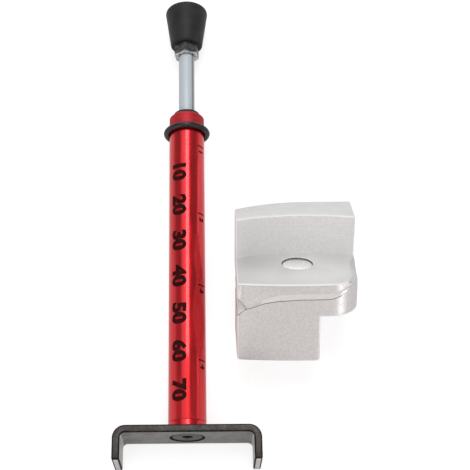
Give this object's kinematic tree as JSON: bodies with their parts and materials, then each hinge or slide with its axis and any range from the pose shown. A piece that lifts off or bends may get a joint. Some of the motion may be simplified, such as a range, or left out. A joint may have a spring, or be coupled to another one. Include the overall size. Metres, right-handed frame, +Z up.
{
  "type": "belt tension gauge",
  "caption": "Plunger gauge with a forked cradle that presses on a drive belt, a sliding ring that marks the deflection, and a loose magnetic adapter block.",
  "frame": {"origin": "on the floor under the tube's axis, at the middle of the cradle bar's thickness", "axes": "+Y along the tube from the cradle to the knob, +Z up from the floor that the gauge lies on, +X to the side of the adapter block"},
  "size_m": [0.0768, 0.1671, 0.0338],
  "materials": {
    "red_anodised": "red anodised, satin gloss",
    "cradle_black": "black coated steel, satin",
    "screw_black": "black oxide steel",
    "bush_nylon": "moulded black nylon",
    "inner_steel": "plain steel",
    "ring_rubber": "smooth black rubber",
    "rod_plating": "bright zinc plate",
    "bumper_rubber": "matte black rubber",
    "brass": "turned brass",
    "nut_plating": "plated steel",
    "knob_rubber": "satin black moulding",
    "block_aluminium": "bead blasted, bright edges",
    "magnet_plating": "bright nickel plate"
  },
  "bodies": {
    "gauge_body": {"tube": "red_anodised", "end_plug": "red_anodised", "cradle": "cradle_black", "cradle_screw": "screw_black", "guide_bush": "bush_nylon", "spring_seat": "inner_steel", "spring": "inner_steel"},
    "plunger": {"plunger_rod": "rod_plating", "bumper": "bumper_rubber", "piston": "brass", "lock_washer": "inner_steel", "piston_screw": "inner_steel", "jam_nut": "nut_plating", "knob": "knob_rubber", "knob_insert": "brass"},
    "ring": {"travel_ring": "ring_rubber"},
    "adapter": {"adapter_block": "block_aluminium", "magnet": "magnet_plating"}
  },
  "joints": [
    {"name": "plunger_press", "type": "slide", "parent": "gauge_body", "child": "plunger", "axis": [0, -1, 0], "range_m": [0, 0.02], "stiffness_N_per_m": 1940, "springref_m": -0.003, "deforming": ["spring"]},
    {"name": "ring_slide", "type": "slide", "parent": "gauge_body", "child": "ring", "axis": [0, -1, 0], "range_m": [-0.0045, 0.1]},
    {"name": "adapter_lift", "type": "slide", "parent": "gauge_body", "child": "adapter", "axis": [0, 0, 1], "range_m": [0, 0.04]}
  ]
}
